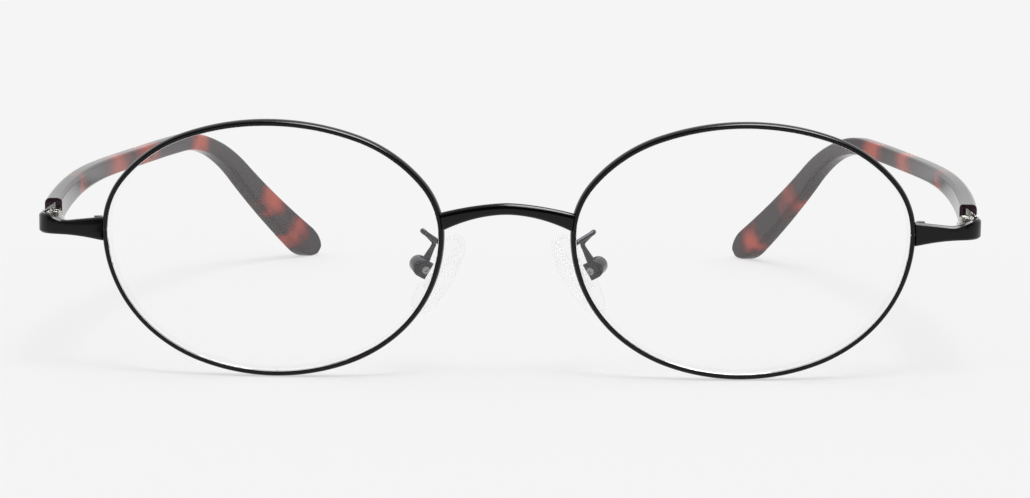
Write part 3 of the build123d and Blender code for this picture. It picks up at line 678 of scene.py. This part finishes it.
def padWireMesh():
    # a wire that leaves the back of the eyewire, loops and comes down on the pad box
    foot = Vector(padWire["foot"])
    elbow = foot + Vector(padWire["elbow"])
    boxTop = padMatrix() @ Vector(padWire["boxTop"])
    down = (boxTop - elbow).normalized()
    points = [foot, Vector(padWire["behindFoot"]), foot + Vector(padWire["loopFront"]),
              foot + Vector(padWire["loopBack"]), elbow, elbow.lerp(boxTop, padWire["stemShare"]), boxTop,
              boxTop + down * padWire["solderDepth"]]
    wide = padWire["stemRadius"] / padWire["radius"]
    path = polyCurve("padWirePath", points, False, [1, 1, 1, 1, 1, 1, wide, wide])
    turns = [2 * math.pi * step / padWire["profilePoints"] for step in range(padWire["profilePoints"])]
    ring = [(padWire["radius"] * math.cos(turn), padWire["radius"] * math.sin(turn), 0) for turn in turns]
    profile = polyCurve("padWireProfile", ring, True)
    mesh = treeMesh(bentSweep, path, {"Profile": profile, "Bend Radius": padWire["bendRadius"] * mm,
                                      "Material": gunmetal}, "padWireShape", sharpAngle=50)
    bpy.data.objects.remove(path)
    bpy.data.objects.remove(profile)
    return mesh


for sideName, side in sides.items():
    cushion, wire = padMesh(), padWireMesh()
    if side < 0:
        mirrored(cushion)
        mirrored(wire)
    finishPiece(cushion, "siliconePad_" + sideName, "nose_pad_" + sideName, clearSilicone)
    finishPiece(wire, "padWire_" + sideName, "pad_arm_" + sideName, gunmetal)
print("nose pads and pad wires made")


# screws: the middle of the head's top, the way out of it, the radius and height of the head and the radius
# and length of the shank. A drive is a slot, with its width and depth, or a six-sided socket, with its radius
screws = {
    "hinge_screw": {"top": (65.25, -60.5753, 23.0275), "axis": (0, 0, 1), "head": (0.65, 0.35),
                    "shank": (0.4, 2.36), "slotWidth": 0.22, "driveDepth": 0.16, "socketRadius": 0.0},
    "closing_screw": {"top": (58.54, -63.387, 22.692), "axis": (0, 0, 1), "head": (0.6, 0.3),
                      "shank": (0.4, 2.49), "slotWidth": 0.2, "driveDepth": 0.14, "socketRadius": 0.0},
    "pad_screw": {"top": (11.8072, -62.264, 15.1449), "axis": (-0.296198, -0.939693, -0.17101),
                  "head": (0.55, 0.35), "shank": (0.34, 2.45), "slotWidth": 0.0, "driveDepth": 0.2,
                  "socketRadius": 0.3},
}
shankOverlap = 0.1  # how far a shank runs into its head, so that they join


def screwTree():
    # a head on a shank, cut by a slot or a socket
    tree = bpy.data.node_groups.new("driveScrew", "GeometryNodeTree")
    tree.interface.new_socket("Geometry", in_out="INPUT", socket_type="NodeSocketGeometry")
    for name in ("Head Radius", "Head Height", "Shank Radius", "Shank Length", "Socket Radius",
                 "Socket Depth"):
        tree.interface.new_socket(name, in_out="INPUT", socket_type="NodeSocketFloat")
    for name in ("Head Middle", "Shank Middle", "Slot Size"):
        tree.interface.new_socket(name, in_out="INPUT", socket_type="NodeSocketVector")
    tree.interface.new_socket("Slotted", in_out="INPUT", socket_type="NodeSocketBool")
    tree.interface.new_socket("Material", in_out="INPUT", socket_type="NodeSocketMaterial")
    tree.interface.new_socket("Geometry", in_out="OUTPUT", socket_type="NodeSocketGeometry")
    given = addNode(tree, "NodeGroupInput").outputs
    whole = addNode(tree, "GeometryNodeMeshBoolean", {"operation": "UNION", "solver": "EXACT"})
    for part, sideCount, long in (("Head", 40, "Height"), ("Shank", 32, "Length")):
        drum = addNode(tree, "GeometryNodeMeshCylinder", {"Vertices": sideCount},
                       {"Radius": given[part + " Radius"], "Depth": given[part + " " + long]})
        placed = addNode(tree, "GeometryNodeTransform", None,
                         {"Geometry": drum.outputs["Mesh"], "Translation": given[part + " Middle"]})
        tree.links.new(placed.outputs["Geometry"], whole.inputs["Mesh 2"])
    slot = addNode(tree, "GeometryNodeMeshCube", None, {"Size": given["Slot Size"]})
    socket = addNode(tree, "GeometryNodeMeshCylinder", {"Vertices": 6},
                     {"Radius": given["Socket Radius"], "Depth": given["Socket Depth"]})
    drive = addNode(tree, "GeometryNodeSwitch", {"input_type": "GEOMETRY"},
                    {"Switch": given["Slotted"], "False": socket.outputs["Mesh"],
                     "True": slot.outputs["Mesh"]})
    cut = addNode(tree, "GeometryNodeMeshBoolean", {"operation": "DIFFERENCE", "solver": "EXACT"},
                  {"Mesh 1": whole.outputs["Mesh"], "Mesh 2": drive.outputs["Output"]})
    solid = addNode(tree, "GeometryNodeRealizeInstances", None, {"Geometry": cut.outputs["Mesh"]})
    finished = addNode(tree, "GeometryNodeSetMaterial", None,
                       {"Geometry": solid.outputs["Geometry"], "Material": given["Material"]})
    addNode(tree, "NodeGroupOutput", None, {"Geometry": finished.outputs["Geometry"]})
    return tree


def screwInputs(sizes):
    # the top of the head is at height 0, and the drive's cutter stands half above it
    (headRadius, headHeight), (shankRadius, shankLength) = sizes["head"], sizes["shank"]
    cutterDepth = 2 * sizes["driveDepth"] * mm
    return {"Head Radius": headRadius * mm, "Head Height": headHeight * mm,
            "Head Middle": (0.0, 0.0, -headHeight / 2 * mm),
            "Shank Radius": shankRadius * mm, "Shank Length": (shankLength + shankOverlap) * mm,
            "Shank Middle": (0.0, 0.0, (shankOverlap / 2 - headHeight - shankLength / 2) * mm),
            "Slotted": sizes["slotWidth"] > 0,
            "Slot Size": (4 * headRadius * mm, sizes["slotWidth"] * mm, cutterDepth),
            "Socket Radius": sizes["socketRadius"] * mm, "Socket Depth": cutterDepth, "Material": screwSteel}


driveScrew = screwTree()
screwHolder = bpy.data.objects.new("screwHolder", bpy.data.meshes.new("screwHolder"))
bpy.context.scene.collection.objects.link(screwHolder)
for kind, sizes in screws.items():
    turned = Vector((0, 0, 1)).rotation_difference(Vector(sizes["axis"])).to_matrix().to_4x4()
    for sideName, side in sides.items():
        mesh = treeMesh(driveScrew, screwHolder, screwInputs(sizes), "screwShape", sharpAngle=35)
        mesh.transform(Matrix.Translation(Vector(sizes["top"]) * mm) @ turned)
        if side < 0:
            mirrored(mesh)
        finishPiece(mesh, kind.replace("_s", "S") + "_" + sideName, kind + "_" + sideName, screwSteel)
bpy.data.objects.remove(screwHolder)
print("screws made")


# CAD nodes that keep their shape and get the small round edges of a tumbled part: the piece's name, its edge
# radius and its material
softened = {
    "end_piece": ("sweptEndPiece", 0.24, blackLacquer),
    "closing_block_upper": ("upperBlock", 0.1, nickelSilver),
    "closing_block_lower": ("lowerBlock", 0.1, nickelSilver),
    "front_hinge_leaf": ("frontLeaf", 0.06, nickelSilver),
    "temple_hinge_leaf": ("templeLeaf", 0.06, nickelSilver),
    "pad_box": ("padBox", 0.09, gunmetal),
}
tumbling = {"flatAngle": 0.5, "edgeAngle": 30, "edgeSteps": 3}  # flats bend by less, and edges by more


def softCopy(cadNode, radius):
    # its loose triangles joined, its flats made whole and its edges rounded
    work = bmesh.new()
    work.from_mesh(nodes[cadNode].data)
    bmesh.ops.remove_doubles(work, verts=work.verts, dist=weld["cad"] * mm)
    bmesh.ops.dissolve_limit(work, angle_limit=math.radians(tumbling["flatAngle"]), verts=work.verts,
                             edges=work.edges)
    shadeByAngle(work, allSmooth)
    mesh = bpy.data.meshes.new(cadNode)
    work.to_mesh(mesh)
    work.free()
    holder = bpy.data.objects.new("softHolder", mesh)
    bpy.context.scene.collection.objects.link(holder)
    bevel = holder.modifiers.new("tumbledEdges", "BEVEL")
    bevel.width = radius * mm
    bevel.segments = tumbling["edgeSteps"]
    bevel.limit_method = "ANGLE"
    bevel.angle_limit = math.radians(tumbling["edgeAngle"])
    bevel.harden_normals = True
    graph = bpy.context.evaluated_depsgraph_get()
    made = bpy.data.meshes.new_from_object(holder.evaluated_get(graph))
    bpy.data.objects.remove(holder)
    return made


for sideName in sides:
    for kind, (pieceName, radius, material) in softened.items():
        cadNode = kind + "_" + sideName
        finishPiece(softCopy(cadNode, radius), pieceName + "_" + sideName, cadNode, material)
    dressNode("temple_core_" + sideName, coreSteel)
    dressNode("pad_insert_" + sideName, clearNylon)
print("small metal pieces rounded")


# the room gives the ambient share of the light and the sun the rest; the lamp is seen in gloss alone
studio = {"background": "#f5f5f5", "photographerSide": "#101010", "darkUntil": -0.7, "paleFrom": 0.15,
          "ambient": 0.74, "sunTurn": 20, "sunTilt": 24, "sunAngle": 24, "floorSize": 12000.0,
          "floorGlow": 0.6, "lampWay": (0.27, -0.05, 0.962), "lampReach": 20, "lampEdge": 3, "lampGlow": 26.0}


def makeFloor():
    # matt board that takes the object's shadow; wherever it is seen, most of it is its own even tone
    material, tree = newMaterial("paleMattBoard")
    board = addNode(tree, "ShaderNodeBsdfDiffuse", {"Color": linearColour(studio["background"])})
    tone = addNode(tree, "ShaderNodeEmission", {"Color": linearColour(studio["background"]), "Strength": 1.0})
    path = addNode(tree, "ShaderNodeLightPath")
    seen = addNode(tree, "ShaderNodeMath", {"operation": "MAXIMUM"},
                   {0: path.outputs["Is Camera Ray"], 1: path.outputs["Is Transmission Ray"]})
    inGloss = addNode(tree, "ShaderNodeMath", {"operation": "MAXIMUM"},
                      {0: seen.outputs["Value"], 1: path.outputs["Is Glossy Ray"]})
    share = addNode(tree, "ShaderNodeMath", {"operation": "MULTIPLY", 1: studio["floorGlow"]},
                    {0: inGloss.outputs["Value"]})
    mix = addNode(tree, "ShaderNodeMixShader", None,
                  {0: share.outputs["Value"], 1: board.outputs["BSDF"], 2: tone.outputs["Emission"]})
    addNode(tree, "ShaderNodeOutputMaterial", None, {"Surface": mix.outputs["Shader"]})
    half = studio["floorSize"] * mm / 2
    corners = [(-half, -half, 0), (half, -half, 0), (half, half, 0), (-half, half, 0)]
    mesh = bpy.data.meshes.new("floorSheet")
    mesh.from_pydata(corners, [], [(0, 1, 2, 3)])
    mesh.materials.append(material)
    floor = bpy.data.objects.new("floor", mesh)
    bpy.context.scene.collection.objects.link(floor)


def makeWorld():
    # even light on the object; its gloss sees a pale room that is dark on the photographer's side
    world = bpy.data.worlds.new("studioRoom")
    world.use_nodes = True
    bpy.context.scene.world = world
    tree = world.node_tree
    tree.nodes.clear()
    path = addNode(tree, "ShaderNodeLightPath")
    place = addNode(tree, "ShaderNodeTexCoord")
    axes = addNode(tree, "ShaderNodeSeparateXYZ", None, {"Vector": place.outputs["Generated"]})
    depth = addNode(tree, "ShaderNodeMapRange",
                    {"From Min": studio["darkUntil"], "From Max": studio["paleFrom"],
                     "interpolation_type": "SMOOTHSTEP"},
                    {"Value": axes.outputs["Y"]})
    # sockets 6 and 7 of a colour mix are its two colours, and output 2 is their mix
    room = addNode(tree, "ShaderNodeMix",
                   {"data_type": "RGBA", 6: linearColour(studio["photographerSide"]),
                    7: linearColour(studio["background"])},
                   {"Factor": depth.outputs["Result"]})
    inLamp = addNode(tree, "ShaderNodeVectorMath", {"operation": "DOT_PRODUCT", 1: studio["lampWay"]},
                     {0: place.outputs["Generated"]})
    glow = addNode(tree, "ShaderNodeMapRange",
                   {"From Min": math.cos(math.radians(studio["lampReach"] + studio["lampEdge"])),
                    "From Max": math.cos(math.radians(studio["lampReach"] - studio["lampEdge"])),
                    "To Min": 1.0, "To Max": studio["lampGlow"], "interpolation_type": "SMOOTHSTEP"},
                   {"Value": inLamp.outputs["Value"]})
    shown = addNode(tree, "ShaderNodeBackground", None,
                    {"Color": room.outputs[2], "Strength": glow.outputs["Result"]})
    plain = addNode(tree, "ShaderNodeBackground",
                    {"Color": linearColour(studio["background"]), "Strength": 1.0})
    light = addNode(tree, "ShaderNodeBackground",
                    {"Color": linearColour("#ffffff"), "Strength": studio["ambient"]})
    glossy = addNode(tree, "ShaderNodeMixShader", None,
                     {0: path.outputs["Is Glossy Ray"], 1: light.outputs["Background"],
                      2: shown.outputs["Background"]})
    seen = addNode(tree, "ShaderNodeMath", {"operation": "MAXIMUM"},
                   {0: path.outputs["Is Camera Ray"], 1: path.outputs["Is Transmission Ray"]})
    last = addNode(tree, "ShaderNodeMixShader", None,
                   {0: seen.outputs["Value"], 1: glossy.outputs["Shader"], 2: plain.outputs["Background"]})
    addNode(tree, "ShaderNodeOutputWorld", None, {"Surface": last.outputs["Shader"]})


def makeSun():
    # with the room it lights a level surface at strength 1
    lamp = bpy.data.lights.new("softKey", "SUN")
    tilt = math.radians(studio["sunTilt"])
    lamp.energy = (1 - studio["ambient"]) * math.pi / math.cos(tilt)
    lamp.angle = math.radians(studio["sunAngle"])
    holder = bpy.data.objects.new("softKey", lamp)
    holder.rotation_euler = (tilt, 0, math.radians(studio["sunTurn"]))
    bpy.context.scene.collection.objects.link(holder)


def makeCamera():
    # the photographer's place, worked out from the photograph
    view = {"place": (10.478, -468.904, 69.92), "yaw": 1.34, "pitch": 7.25, "roll": -0.25, "lens": 100.28}
    yaw, pitch, roll = (math.radians(view[name]) for name in ("yaw", "pitch", "roll"))
    right = Vector((math.cos(yaw), math.sin(yaw), 0))
    forward = Vector((-math.sin(yaw) * math.cos(pitch), math.cos(yaw) * math.cos(pitch), -math.sin(pitch)))
    up = right.cross(forward)
    rolledRight = math.cos(roll) * right - math.sin(roll) * up
    rolledUp = math.sin(roll) * right + math.cos(roll) * up
    camera = bpy.data.cameras.new("photographer")
    camera.lens = view["lens"]
    camera.sensor_width = 36.0
    camera.sensor_fit = "HORIZONTAL"
    camera.clip_start = 0.01
    holder = bpy.data.objects.new("photographer", camera)
    turned = Matrix((rolledRight, rolledUp, -forward)).transposed().to_4x4()
    holder.matrix_world = Matrix.Translation(Vector(view["place"]) * mm) @ turned
    bpy.context.scene.collection.objects.link(holder)
    bpy.context.scene.camera = holder


makeFloor()
makeWorld()
makeSun()
makeCamera()
bpy.context.scene.view_settings.view_transform = "Standard"
print("studio made")
